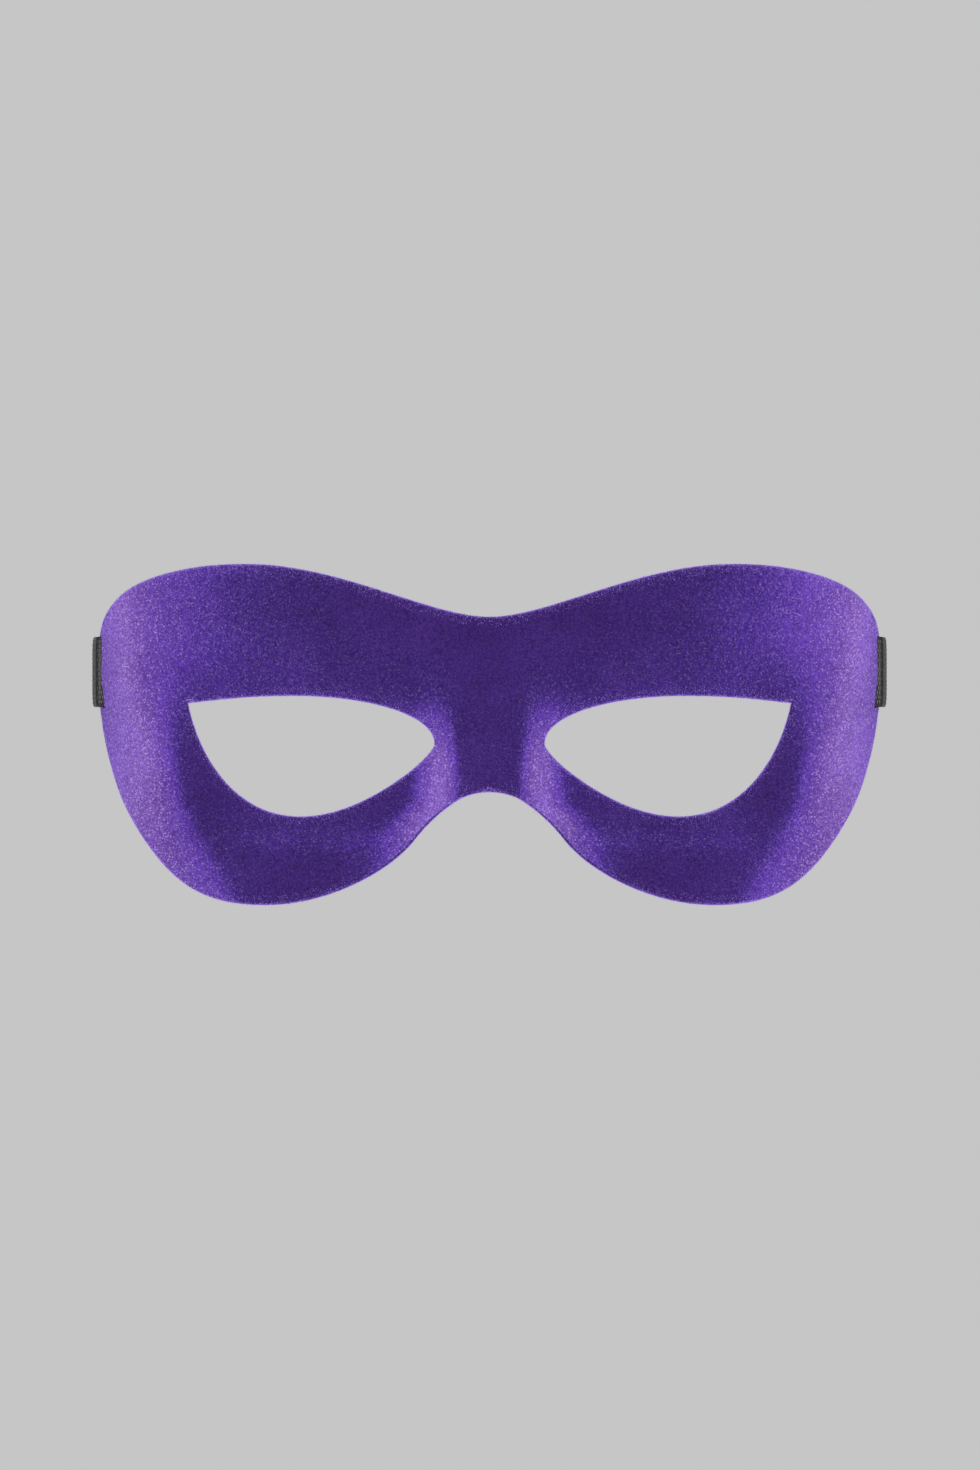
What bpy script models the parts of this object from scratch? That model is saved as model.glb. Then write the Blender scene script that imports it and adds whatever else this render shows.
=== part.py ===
"""Eye mask of velvet over a moulded shell, worn on the face by a flat elastic strap round the head.

Lengths are in metres. X runs across the face, Y runs back towards the head and Z runs up.
The world origin lies on the inner face of the bridge, where the mask sits on the nose.
"""

import math
from collections import namedtuple

import bmesh
import bpy
from mathutils import Vector

MM = 0.001

# Mask seen from the front
MASK_WIDTH = 178.2 * MM
MASK_HEIGHT = 75.5 * MM
EYE_WIDTH = 54.8 * MM
EYE_HEIGHT = 26.5 * MM
EYE_APART = 79.4 * MM
EYE_DROP = 4.7 * MM

# Mask seen from above and from the side
SIDE_DEPTH = 48.0 * MM
SIDE_MARGIN = 1.5 * MM
RIDGE_RISE = 4.6 * MM
EYE_SETBACK = 8.0 * MM
CROWN_RADIUS = 70.0 * MM
CHEEK_RADIUS = 110.0 * MM

# Velvet and shell together
WALL = 2.0 * MM
RIM_ROUND = 0.5 * MM

# Elastic strap
STRAP_WIDTH = 16.0 * MM
STRAP_THICKNESS = 0.8 * MM
STRAP_ROUND = 0.25 * MM
STRAP_REACH = 187.0 * MM
STRAP_RISE = 5.8 * MM
STRAP_TURN_RADIUS = 5.0 * MM
TAIL_LENGTH = 12.0 * MM
LAND_WIDTH = 2.5 * MM
CLEARANCE = 0.25 * MM

# How far the slot cutter reaches to each side of the land's front edge
SLOT_CUT_INWARDS = 6.0 * MM
SLOT_CUT_OUTWARDS = 4.0 * MM

# Step in which the face's slope is measured, and how near the mirrored halves are joined
SLOPE_REACH = 0.02 * MM
MERGE_DISTANCE = 0.01 * MM
# Edges that turn more than this many degrees are drawn sharp
SHARP_ANGLE = 40

# Fineness of the faces
RINGS = 9
EDGE_STEPS = 1
SPOKE_SAMPLES = 48
SECTION_STEPS = 100
HIDING_STEPS = 6
CORNER_STEPS = 4
TURN_STEPS = 4
TAIL_STEPS = 10
STRAP_STEPS = 34

HALF_WIDTH = MASK_WIDTH / 2
EYE_CENTRE = EYE_APART / 2
EYE_INNER = EYE_CENTRE - EYE_WIDTH / 2
EYE_OUTER = EYE_CENTRE + EYE_WIDTH / 2

# A superellipse exponent of 2 is an ellipse, and more keeps the brow flatter
BROW_FLATNESS = 2.3
# Share of the superellipse's half width up to which it is followed
BROW_LIMIT = 0.9995
# Heights, as shares of the mask's height, where the edges start to roll back
CROWN_START = 0.32
CHEEK_START = -0.33
# Share of the tail's length in which it closes in on the strap
TAIL_CLOSING = 0.5
# Handles of the strap's curve round the head, as shares of the way to its corner
SIDE_FULLNESS = 0.50
BACK_FULLNESS = 0.68
# Share of the eye hole's outer corner where the setback has faded to half, and how softly
SETBACK_END = 0.985
SETBACK_SOFT = 0.075

# Knots of the half outline, clockwise from the top of the brow. x is a share of the half width and
# z of the height, heading is in degrees, and the handles before and after are shares of the half
# width. eye_at is the place round the eye hole that faces the knot, in knots of EYE_KNOTS, and
# steps counts the faces from this knot to the next.
OutlineKnot = namedtuple("OutlineKnot", "x z heading before after eye_at steps")
OUTLINE_KNOTS = [
    OutlineKnot(0.000, 0.344, 0, 0.000, 0.151, 0.10, 14),
    OutlineKnot(0.616, 0.502, 0, 0.246, 0.146, 1.20, 9),
    OutlineKnot(0.937, 0.409, -41, 0.070, 0.071, 1.85, 6),
    OutlineKnot(1.000, 0.190, -90, 0.105, 0.158, 2.00, 12),
    OutlineKnot(0.853, -0.335, -128, 0.178, 0.132, 2.50, 9),
    OutlineKnot(0.562, -0.498, -180, 0.134, 0.176, 2.97, 11),
    OutlineKnot(0.188, -0.304, -233, 0.085, 0.100, 3.70, 8),
    OutlineKnot(0.000, -0.165, -180, 0.063, 0.000, 3.93, 8),
]
WIDEST_KNOT = OUTLINE_KNOTS[3]

Spoke = namedtuple("Spoke", "eye rim on_rim")

# Knots of the eye hole, clockwise from the inner corner. x is a share of the hole's width from its
# centre, z is a share of its height, and the handles are shares of its width.
EyeKnot = namedtuple("EyeKnot", "x z heading_in heading_out before after")
EYE_KNOTS = [
    EyeKnot(-0.500, 0.105, 90, 90, 0.050, 0.115),
    EyeKnot(0.070, 0.500, 0, 0, 0.305, 0.176),
    EyeKnot(0.500, 0.443, -6, -101, 0.160, 0.125),
    EyeKnot(0.040, -0.500, -180, -180, 0.320, 0.266),
]

# How the mask wraps round the face at each height. wrap is a share of the side depth, bend_at and
# bend_soft are shares of the half width, and bend_slope is how much steeper the side runs past
# the bend.
SideRow = namedtuple("SideRow", "height wrap bend_at bend_slope bend_soft")
SIDE_ROWS = [
    SideRow(-0.50, 0.50, 0.652, 0.80, 0.020),
    SideRow(-0.32, 0.55, 0.713, 0.85, 0.021),
    SideRow(-0.20, 0.62, 0.775, 1.05, 0.025),
    SideRow(-0.08, 0.80, 0.831, 1.30, 0.027),
    SideRow(0.08, 0.97, 0.888, 1.10, 0.020),
    SideRow(0.19, 1.00, 0.915, 0.95, 0.020),
    SideRow(0.30, 1.06, 0.927, 0.80, 0.020),
    SideRow(0.50, 0.95, 0.944, 0.40, 0.034),
]

# The nose ridge and the setback beside it at each height. forward is a share of the ridge's rise,
# setback of the eyes' setback and edge_at of the eye hole's inner corner. A sharper edge has a
# narrower flank.
NoseRow = namedtuple("NoseRow", "height forward setback edge_at sharpness")
NOSE_ROWS = [
    NoseRow(-0.50, 0.00, 0.50, 2.28, 7.0),
    NoseRow(-0.36, 0.17, 0.62, 1.67, 7.9),
    NoseRow(-0.265, 0.74, 0.87, 1.27, 7.8),
    NoseRow(-0.185, 1.00, 1.00, 0.96, 6.0),
    NoseRow(-0.093, 0.74, 0.92, 0.93, 6.3),
    NoseRow(0.00, 0.48, 0.72, 0.99, 5.5),
    NoseRow(0.16, 0.13, 0.35, 1.14, 3.5),
    NoseRow(0.34, 0.00, 0.03, 1.26, 3.0),
    NoseRow(0.50, 0.00, 0.00, 1.30, 3.0),
]


def clear_scene():
    for item in list(bpy.data.objects):
        bpy.data.objects.remove(item, do_unlink=True)


def add_material(name, colour, roughness, sheen):
    material = bpy.data.materials.new(name)
    material.use_nodes = True
    shader = material.node_tree.nodes["Principled BSDF"]
    shader.inputs["Base Color"].default_value = (*colour, 1.0)
    shader.inputs["Roughness"].default_value = roughness
    shader.inputs["Metallic"].default_value = 0.0
    shader.inputs["Sheen Weight"].default_value = sheen
    material.diffuse_color = (*colour, 1.0)
    return material


def add_object(name, mesh_builder, frame, material=None):
    mesh = bpy.data.meshes.new(name)
    mesh_builder.to_mesh(mesh)
    mesh_builder.free()
    item = bpy.data.objects.new(name, mesh)
    item.parent = frame
    bpy.context.scene.collection.objects.link(item)
    if material:
        mesh.materials.append(material)
        mesh.shade_smooth()
        mesh.set_sharp_from_angle(angle=math.radians(SHARP_ANGLE))
    return item


def bezier(start, start_handle, end_handle, end, share):
    rest = 1 - share
    return (
        start * rest**3
        + start_handle * 3 * rest**2 * share
        + end_handle * 3 * rest * share**2
        + end * share**3
    )


def direction(degrees):
    return Vector((math.cos(math.radians(degrees)), math.sin(math.radians(degrees))))


def table_slopes(heights, values):
    """Slopes that let a smooth curve pass through a table's rows without overshooting them."""
    secants = [
        (values[i + 1] - values[i]) / (heights[i + 1] - heights[i])
        for i in range(len(values) - 1)
    ]
    slopes = [secants[0]]
    for before, after in zip(secants, secants[1:]):
        flat = before * after <= 0
        slopes.append(0.0 if flat else 2 * before * after / (before + after))
    slopes.append(secants[-1])
    return slopes


def smooth_table(rows, column):
    """A function that reads one column of a table at any height, smoothly between its rows."""
    heights = [row.height for row in rows]
    values = [getattr(row, column) for row in rows]
    slopes = table_slopes(heights, values)

    def read(height):
        height = min(max(height, heights[0]), heights[-1])
        i = max(k for k in range(len(heights) - 1) if heights[k] <= height)
        span = heights[i + 1] - heights[i]
        share = (height - heights[i]) / span
        rest = 1 - share
        return (
            values[i] * (1 + 2 * share) * rest**2
            + values[i + 1] * (3 - 2 * share) * share**2
            + span * slopes[i] * share * rest**2
            - span * slopes[i + 1] * share**2 * rest
        )

    return read


SIDE = {column: smooth_table(SIDE_ROWS, column) for column in SideRow._fields[1:]}
NOSE = {column: smooth_table(NOSE_ROWS, column) for column in NoseRow._fields[1:]}


def outer_depth(x, z):
    """How far back the velvet's outer face lies at a place seen from the front."""
    across = abs(x)
    height = z / MASK_HEIGHT
    # The brow curves back as a superellipse that turns square just past the half width
    turn = min(across / (HALF_WIDTH + SIDE_MARGIN), BROW_LIMIT)
    depth = SIDE["wrap"](height) * SIDE_DEPTH
    depth *= 1 - (1 - turn**BROW_FLATNESS) ** (1 / BROW_FLATNESS)
    # Past the bend the side runs back more steeply
    soft = SIDE["bend_soft"](height) * HALF_WIDTH
    past = (across - SIDE["bend_at"](height) * HALF_WIDTH) / soft
    depth += SIDE["bend_slope"](height) * soft * (max(past, 0) + math.log1p(math.exp(-abs(past))))
    # The ridge stands forward and the eyes and cheeks beside it are set back
    edge = NOSE["edge_at"](height) * EYE_INNER
    ridge = 1 / (1 + (across / edge) ** NOSE["sharpness"](height))
    fade = 1 / (1 + math.exp((across / EYE_OUTER - SETBACK_END) / SETBACK_SOFT))
    depth -= NOSE["forward"](height) * RIDGE_RISE * ridge
    depth += NOSE["setback"](height) * EYE_SETBACK * (1 - ridge) * fade
    # The top and bottom edges roll back
    depth += max(z - CROWN_START * MASK_HEIGHT, 0) ** 2 / (2 * CROWN_RADIUS)
    depth += max(CHEEK_START * MASK_HEIGHT - z, 0) ** 2 / (2 * CHEEK_RADIUS)
    return depth


def outer_point(place):
    return Vector((place.x, outer_depth(*place), place.y))


def inward_normal(x, z):
    """The direction through the wall, from the velvet towards the face."""
    low = max(x - SLOPE_REACH, -HALF_WIDTH)
    high = min(x + SLOPE_REACH, HALF_WIDTH)
    slope_x = (outer_depth(high, z) - outer_depth(low, z)) / (high - low)
    rise = outer_depth(x, z + SLOPE_REACH) - outer_depth(x, z - SLOPE_REACH)
    slope_z = rise / (2 * SLOPE_REACH)
    return Vector((-slope_x, 1, -slope_z)).normalized()


def outline_point(index, share):
    """A place on the half outline, or on the centre line after its last knot."""
    here = OUTLINE_KNOTS[index]
    after = OUTLINE_KNOTS[(index + 1) % len(OUTLINE_KNOTS)]
    start = Vector((here.x * HALF_WIDTH, here.z * MASK_HEIGHT))
    end = Vector((after.x * HALF_WIDTH, after.z * MASK_HEIGHT))
    if index == len(OUTLINE_KNOTS) - 1:
        return start.lerp(end, share)
    start_handle = start + direction(here.heading) * here.after * HALF_WIDTH
    end_handle = end - direction(after.heading) * after.before * HALF_WIDTH
    return bezier(start, start_handle, end_handle, end, share)


def eye_point(place):
    """A place round the eye hole, where whole numbers are its knots."""
    index = math.floor(place) % len(EYE_KNOTS)
    here = EYE_KNOTS[index]
    after = EYE_KNOTS[(index + 1) % len(EYE_KNOTS)]
    start = Vector((here.x * EYE_WIDTH, here.z * EYE_HEIGHT))
    end = Vector((after.x * EYE_WIDTH, after.z * EYE_HEIGHT))
    start_handle = start + direction(here.heading_out) * here.after * EYE_WIDTH
    end_handle = end - direction(after.heading_in) * after.before * EYE_WIDTH
    point = bezier(start, start_handle, end_handle, end, place - math.floor(place))
    return point + Vector((EYE_CENTRE, -EYE_DROP))


def spokes():
    """Facing places on the eye hole and the half outline, in order round the hole. The first and
    the one at the notch lie on both the rim and the centre line."""
    found = []
    for index, knot in enumerate(OUTLINE_KNOTS):
        last = index == len(OUTLINE_KNOTS) - 1
        eye_end = OUTLINE_KNOTS[0].eye_at + len(EYE_KNOTS) if last else OUTLINE_KNOTS[index + 1].eye_at
        for step in range(knot.steps):
            share = step / knot.steps
            eye = eye_point(knot.eye_at + (eye_end - knot.eye_at) * share)
            on_rim = not last or step == 0
            found.append(Spoke(eye, outline_point(index, share), on_rim))
    return found


def even_places(spoke):
    """Places from the eye hole to the rim that lie evenly along the curved face."""
    shares = [i / SPOKE_SAMPLES for i in range(SPOKE_SAMPLES + 1)]
    points = [outer_point(spoke.eye.lerp(spoke.rim, share)) for share in shares]
    lengths = [0.0]
    for before, after in zip(points, points[1:]):
        lengths.append(lengths[-1] + (after - before).length)
    places = []
    for ring in range(RINGS + 1):
        wanted = lengths[-1] * ring / RINGS
        i = min(max(k for k, length in enumerate(lengths) if length <= wanted), SPOKE_SAMPLES - 1)
        part = (wanted - lengths[i]) / (lengths[i + 1] - lengths[i])
        places.append(spoke.eye.lerp(spoke.rim, (i + part) / SPOKE_SAMPLES))
    return places


def into_wall(before, here, after, through):
    """The direction along the face into the wall from an outline run clockwise, mitred at a corner."""
    first = through.cross(here - before).normalized()
    second = through.cross(after - here).normalized()
    return (first + second) / (1 + first @ second)


def open_side(before, after, side):
    """The direction seen from the front, out of the wall, from an outline run clockwise. side is 1
    on the rim and -1 round the eye hole."""
    step = after - before
    return Vector((-step.y, step.x)).normalized() * side


def hidden_place(edge, outwards):
    """The place whose point on the inner face lies straight behind an edge of the velvet, or the
    edge's own place where the wall slants out of sight by itself."""
    place = edge
    for _ in range(HIDING_STEPS):
        through = inward_normal(*place) * WALL
        place = edge - outwards * max(through.xz @ outwards, 0)
    return place


def eased_edge(here, hidden, into):
    """Points round one edge of the wall, from the velvet at one place to the inner face at another."""
    steps = [math.radians(90 * step / EDGE_STEPS) for step in range(EDGE_STEPS + 1)]
    eased = [(RIM_ROUND * (1 - math.sin(turn)), RIM_ROUND * (1 - math.cos(turn))) for turn in steps]
    near = inward_normal(*here)
    far = inward_normal(*hidden)
    return [
        *(outer_point(here) + into * inset + near * depth for inset, depth in eased),
        *(outer_point(hidden) + into * inset + far * (WALL - depth) for inset, depth in eased[::-1]),
    ]


def mirrored(point):
    return Vector((-point.x, *point[1:]))


def wall_loops():
    """For each spoke, the points round the wall's section: out along the velvet, round the rim,
    back along the inner face and round the eye hole's edge. A spoke to the centre line has no rim."""
    found = spokes()
    count = len(found)
    loops = []
    for i, spoke in enumerate(found):
        outer = [outer_point(place) for place in even_places(spoke)]
        before = found[i - 1].eye
        after = found[(i + 1) % count].eye
        through = inward_normal(*spoke.eye)
        into = -into_wall(outer_point(before), outer[0], outer_point(after), through)
        hidden_eye = hidden_place(spoke.eye, open_side(before, after, -1))
        eye_edge = eased_edge(spoke.eye, hidden_eye, into)
        hidden_rim = spoke.rim
        if spoke.on_rim:
            after = found[i + 1].rim if found[i + 1].on_rim else mirrored(found[i - 1].rim)
            before = found[i - 1].rim if i else mirrored(after)
            through = inward_normal(*spoke.rim)
            into = into_wall(outer_point(before), outer[-1], outer_point(after), through)
            hidden_rim = hidden_place(spoke.rim, open_side(before, after, 1))
            rim_edge = eased_edge(spoke.rim, hidden_rim, into)
        places = even_places(Spoke(hidden_eye, hidden_rim, spoke.on_rim))
        inner = [outer_point(place) + inward_normal(*place) * WALL for place in places]
        if not spoke.on_rim:
            rim_edge = [outer[-1], *[None] * (2 * EDGE_STEPS), inner[-1]]
        loops.append(outer[1:-1] + rim_edge + inner[-2:0:-1] + eye_edge[::-1])
    return loops


def build_shell(frame, material):
    """The velvet-covered shell: loops round the wall's section, joined from spoke to spoke."""
    builder = bmesh.new()
    loops = [[point and builder.verts.new(point) for point in loop] for loop in wall_loops()]
    for loop, after in zip(loops, loops[1:] + loops[:1]):
        for k in range(len(loop)):
            corners = (loop[k - 1], after[k - 1], after[k], loop[k])
            if None not in corners:
                builder.faces.new(corners)
    shell = add_object("mask_shell", builder, frame, material)
    mirror = shell.modifiers.new("Other half", "MIRROR")
    mirror.merge_threshold = MERGE_DISTANCE
    slots = shell.modifiers.new("Strap slots", "BOOLEAN")
    slots.operation = "DIFFERENCE"
    slots.solver = "EXACT"
    slots.object = build_slot_cutter(frame)
    return shell


class Land:
    """The strip of side wall between a strap slot and the rim, seen from above.

    Its front edge is at 0 along it. Its outer and inner face and its rim are the furthest that
    the wall reaches each way over the strap's width.
    """

    def __init__(self):
        self.height = WIDEST_KNOT.z * MASK_HEIGHT
        rim = WIDEST_KNOT.x * HALF_WIDTH
        face = [Vector((rim, outer_depth(rim, self.height)))]
        run = 0.0
        while run < LAND_WIDTH:
            x = face[-1].x - LAND_WIDTH / SECTION_STEPS
            face.append(Vector((x, outer_depth(x, self.height))))
            run += (face[-1] - face[-2]).length
        self.front = face[-1]
        self.back = (face[0] - self.front).normalized()
        self.out = Vector((self.back.y, -self.back.x))
        outer = []
        inner = []
        for height in (-STRAP_WIDTH / 2, 0, STRAP_WIDTH / 2):
            for point in face:
                place = Vector((point.x, self.height + height))
                outer.append((outer_point(place).xy - self.front) @ self.out)
                through = outer_point(place) + inward_normal(*place) * WALL
                inner.append((through.xy - self.front) @ self.out)
        self.outer = max(outer)
        self.inner = min(inner)
        rims = [spoke.rim for spoke in spokes() if spoke.on_rim and spoke.rim.x > rim / 2]
        beside = [place for place in rims if abs(place.y - self.height) < STRAP_WIDTH / 2 + WALL]
        ends = [outer_point(place) + inward_normal(*place) * WALL for place in beside]
        self.length = max((end.xy - self.front) @ self.back for end in ends)

    def place(self, along, outwards):
        return self.front + self.back * along + self.out * outwards


def build_slot_cutter(frame):
    """One box for each side's slot, which takes the strap's section with its clearance."""
    land = Land()
    half_height = STRAP_WIDTH / 2 + CLEARANCE
    near = -(STRAP_THICKNESS + 2 * CLEARANCE)
    inside = -SLOT_CUT_INWARDS
    outside = SLOT_CUT_OUTWARDS
    corners = [(near, inside), (near, outside), (0, outside), (0, inside)]
    builder = bmesh.new()
    for side in (1, -1):
        rings = []
        for height in (land.height - half_height, land.height + half_height):
            places = [land.place(*corner) for corner in corners]
            rings.append([builder.verts.new((side * place.x, place.y, height)) for place in places])
        builder.faces.new(rings[0])
        builder.faces.new(rings[1])
        for i in range(len(corners)):
            builder.faces.new((rings[0][i - 1], rings[0][i], rings[1][i], rings[1][i - 1]))
    bmesh.ops.recalc_face_normals(builder, faces=builder.faces)
    cutter = add_object("slot_cutter", builder, frame)
    cutter.hide_render = True
    cutter.display_type = "WIRE"
    return cutter


def arc(centre, radius, start, end, steps):
    """Points on an arc between two headings in degrees, from the first to the last."""
    shares = [i / steps for i in range(steps + 1)]
    return [centre + direction(start + (end - start) * share) * radius for share in shares]


def walk(points, wanted):
    """The place a length along a line of points, and the line's heading there."""
    for before, after in zip(points, points[1:]):
        step = (after - before).length
        if wanted <= step:
            break
        wanted -= step
    heading = (after - before).normalized()
    return before + heading * wanted, heading


def strap_half_line():
    """Half of the strap's middle line seen from above: its tail inside the rim, the turn round the
    land and out of the slot, and the standing strap back to the middle of the head."""
    land = Land()
    off = CLEARANCE + STRAP_THICKNESS / 2
    heading = math.degrees(math.atan2(land.back.y, land.back.x))

    # Behind the rim the strap turns from the side wall's heading to run straight back
    leaving = land.place(land.length, land.outer + off)
    turn_centre = leaving - land.out * STRAP_TURN_RADIUS
    turn = arc(turn_centre, STRAP_TURN_RADIUS, heading - 90, 0, TURN_STEPS)
    side = turn[-1]
    back = Vector((0, STRAP_REACH))
    corner = Vector((side.x, back.y))
    side_handle = side.lerp(corner, SIDE_FULLNESS)
    back_handle = back.lerp(corner, BACK_FULLNESS)
    shares = [i / STRAP_STEPS for i in range(1, STRAP_STEPS + 1)]
    standing = turn + [bezier(side, side_handle, back_handle, back, share) for share in shares]

    # The tail starts beside the land's inner face and closes in on the standing strap
    beside_land = land.outer - land.inner + 2 * off
    beside_strap = STRAP_THICKNESS + CLEARANCE
    tail = []
    for i in range(TAIL_STEPS, -1, -1):
        share = i / TAIL_STEPS
        closing = min(share / TAIL_CLOSING, 1)
        apart = beside_land + (beside_strap - beside_land) * closing**2 * (3 - 2 * closing)
        place, along = walk(standing, CLEARANCE + (TAIL_LENGTH - CLEARANCE) * share)
        tail.append(place + Vector((-along.y, along.x)) * apart)

    # The turn runs round the land's front edge, a clearance off its two corners
    inner_corner = arc(land.place(0, land.inner), off, heading + 90, heading + 180, CORNER_STEPS)
    outer_corner = arc(land.place(0, land.outer), off, heading + 180, heading + 270, CORNER_STEPS)
    return tail + inner_corner + outer_corner + standing


def strap_line():
    """The strap's whole middle line, rising from the sides to the back of the head."""
    land = Land()
    half = strap_half_line()
    rim = land.place(land.length, 0)
    line = []
    for point in half:
        share = max(point.y - rim.y, 0) / (STRAP_REACH - rim.y)
        line.append(Vector((*point, land.height + STRAP_RISE * share**2 * (3 - 2 * share))))
    return line + [mirrored(point) for point in line[-2::-1]]


def flat_normal(start, end):
    """The level direction at right angles to a step of the strap."""
    step = end - start
    return Vector((step.y, -step.x, 0)).normalized()


def build_strap(frame, material):
    """The elastic strap: its flat section with rounded edges, swept along its middle line."""
    half = STRAP_THICKNESS / 2
    edge = STRAP_WIDTH / 2
    section = [
        (half, edge - STRAP_ROUND),
        (half - STRAP_ROUND, edge),
        (STRAP_ROUND - half, edge),
        (-half, edge - STRAP_ROUND),
        (-half, STRAP_ROUND - edge),
        (STRAP_ROUND - half, -edge),
        (half - STRAP_ROUND, -edge),
        (half, STRAP_ROUND - edge),
    ]
    line = strap_line()
    normals = [flat_normal(start, end) for start, end in zip(line, line[1:])]
    builder = bmesh.new()
    rings = []
    for point, first, second in zip(line, normals[:1] + normals, normals + normals[-1:]):
        across = (first + second) / (1 + first @ second)
        places = [point + across * out + Vector((0, 0, up)) for out, up in section]
        rings.append([builder.verts.new(place) for place in places])
    for ring, after in zip(rings, rings[1:]):
        for k in range(len(section)):
            builder.faces.new((ring[k - 1], ring[k], after[k], after[k - 1]))
    builder.faces.new(rings[0])
    builder.faces.new(rings[-1])
    bmesh.ops.recalc_face_normals(builder, faces=builder.faces)
    return add_object("elastic_strap", builder, frame, material)


def main():
    clear_scene()
    seat = bpy.data.objects.new("bridge_seat", None)
    seat.location = (0, -(outer_depth(0, 0) + WALL), 0)
    bpy.context.scene.collection.objects.link(seat)
    velvet = add_material("Purple velvet", (0.054, 0.021, 0.168), 0.9, 0.6)
    elastic = add_material("Black elastic", (0.018, 0.018, 0.018), 0.85, 0.0)
    build_shell(seat, velvet)
    build_strap(seat, elastic)


main()
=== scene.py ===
"""Looks of a purple velvet eye mask with a black elastic strap, held up as it is worn.

Lengths are in metres. X runs across the face, Y runs back towards the head and Z runs up.
"""

import logging
import math
from dataclasses import dataclass
from enum import Enum
from typing import NamedTuple

import bmesh
import bpy
import numpy as np
from bpy.types import ID, Material, Mesh, Node, NodeSocket, NodeTree, Object
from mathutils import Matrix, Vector


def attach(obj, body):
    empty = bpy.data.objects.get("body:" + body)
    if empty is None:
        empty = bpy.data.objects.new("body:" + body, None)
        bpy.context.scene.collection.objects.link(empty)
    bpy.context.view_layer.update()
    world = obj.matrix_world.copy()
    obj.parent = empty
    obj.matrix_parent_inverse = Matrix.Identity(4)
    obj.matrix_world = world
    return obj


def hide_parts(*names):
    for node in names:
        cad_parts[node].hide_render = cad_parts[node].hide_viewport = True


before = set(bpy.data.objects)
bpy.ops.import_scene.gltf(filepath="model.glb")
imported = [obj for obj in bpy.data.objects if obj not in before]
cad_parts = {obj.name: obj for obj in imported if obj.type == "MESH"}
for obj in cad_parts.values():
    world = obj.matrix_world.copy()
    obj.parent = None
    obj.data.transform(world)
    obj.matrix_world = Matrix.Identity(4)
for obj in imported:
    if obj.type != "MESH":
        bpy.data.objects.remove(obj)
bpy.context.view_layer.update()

LOG = logging.getLogger("velvet_mask")

MM = 0.001
BODY = "root"
Colour = tuple[float, float, float, float]
Array = np.ndarray
Point = Array | Vector


class Side(Enum):
    """The two sides of the mask, as the sign of X."""

    LEFT = -1
    RIGHT = 1


class MaskEdge(Enum):
    """The two cut edges of the velvet."""

    OUTLINE = "outline"
    EYE_HOLE = "eye hole"


class ShellFace(Enum):
    """The shell's material slots."""

    VELVET = 0
    BACK = 1


class OutlineKnot(NamedTuple):
    """A knot of the mask's half outline, with its handles in shares of the half width."""

    x: float
    z: float
    heading: float
    before: float
    after: float
    eye_at: float
    steps: int


class EyeKnot(NamedTuple):
    """A knot of the eye hole, in shares of its width and height."""

    x: float
    z: float
    heading_in: float
    heading_out: float
    before: float
    after: float


class SideRow(NamedTuple):
    """How the mask wraps round the face at one height."""

    height: float
    wrap: float
    bend_at: float
    bend_slope: float
    bend_soft: float


class NoseRow(NamedTuple):
    """The nose ridge and the setback beside it at one height."""

    height: float
    forward: float
    setback: float
    edge_at: float
    sharpness: float


OUTLINE_KNOTS = [
    OutlineKnot(0.000, 0.344, 0, 0.000, 0.151, 0.10, 14),
    OutlineKnot(0.616, 0.502, 0, 0.246, 0.146, 1.20, 9),
    OutlineKnot(0.937, 0.409, -41, 0.070, 0.071, 1.85, 6),
    OutlineKnot(1.000, 0.190, -90, 0.105, 0.158, 2.00, 12),
    OutlineKnot(0.853, -0.335, -128, 0.178, 0.132, 2.50, 9),
    OutlineKnot(0.562, -0.498, -180, 0.134, 0.176, 2.97, 11),
    OutlineKnot(0.188, -0.304, -233, 0.085, 0.100, 3.70, 8),
    OutlineKnot(0.000, -0.165, -180, 0.063, 0.000, 3.93, 8),
]
WIDEST_KNOT = OUTLINE_KNOTS[3]

# A box's faces, when its lower corners are numbered in a ring and then its upper ones
BOX_FACES = [(0, 1, 2, 3), (4, 5, 6, 7), (3, 0, 4, 7), (0, 1, 5, 4), (1, 2, 6, 5), (2, 3, 7, 6)]

EYE_KNOTS = [
    EyeKnot(-0.500, 0.105, 90, 90, 0.050, 0.115),
    EyeKnot(0.070, 0.500, 0, 0, 0.305, 0.176),
    EyeKnot(0.500, 0.443, -6, -101, 0.160, 0.125),
    EyeKnot(0.040, -0.500, -180, -180, 0.320, 0.266),
]

SIDE_ROWS = [
    SideRow(-0.50, 0.50, 0.652, 0.80, 0.034),
    SideRow(-0.32, 0.55, 0.713, 0.85, 0.036),
    SideRow(-0.20, 0.62, 0.775, 1.05, 0.036),
    SideRow(-0.08, 0.80, 0.831, 1.30, 0.034),
    SideRow(0.08, 0.97, 0.888, 1.10, 0.027),
    SideRow(0.19, 1.00, 0.915, 0.95, 0.020),
    SideRow(0.30, 1.06, 0.927, 0.80, 0.020),
    SideRow(0.50, 0.95, 0.944, 0.40, 0.034),
]

NOSE_ROWS = [
    NoseRow(-0.50, 0.00, 0.50, 2.28, 7.0),
    NoseRow(-0.36, 0.17, 0.62, 1.67, 7.9),
    NoseRow(-0.265, 0.74, 0.87, 1.27, 7.8),
    NoseRow(-0.185, 1.00, 1.00, 0.96, 6.0),
    NoseRow(-0.093, 0.74, 0.92, 0.93, 6.3),
    NoseRow(0.00, 0.48, 0.72, 0.99, 5.5),
    NoseRow(0.16, 0.13, 0.35, 1.14, 3.5),
    NoseRow(0.34, 0.00, 0.03, 1.26, 3.0),
    NoseRow(0.50, 0.00, 0.00, 1.30, 3.0),
]


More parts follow.
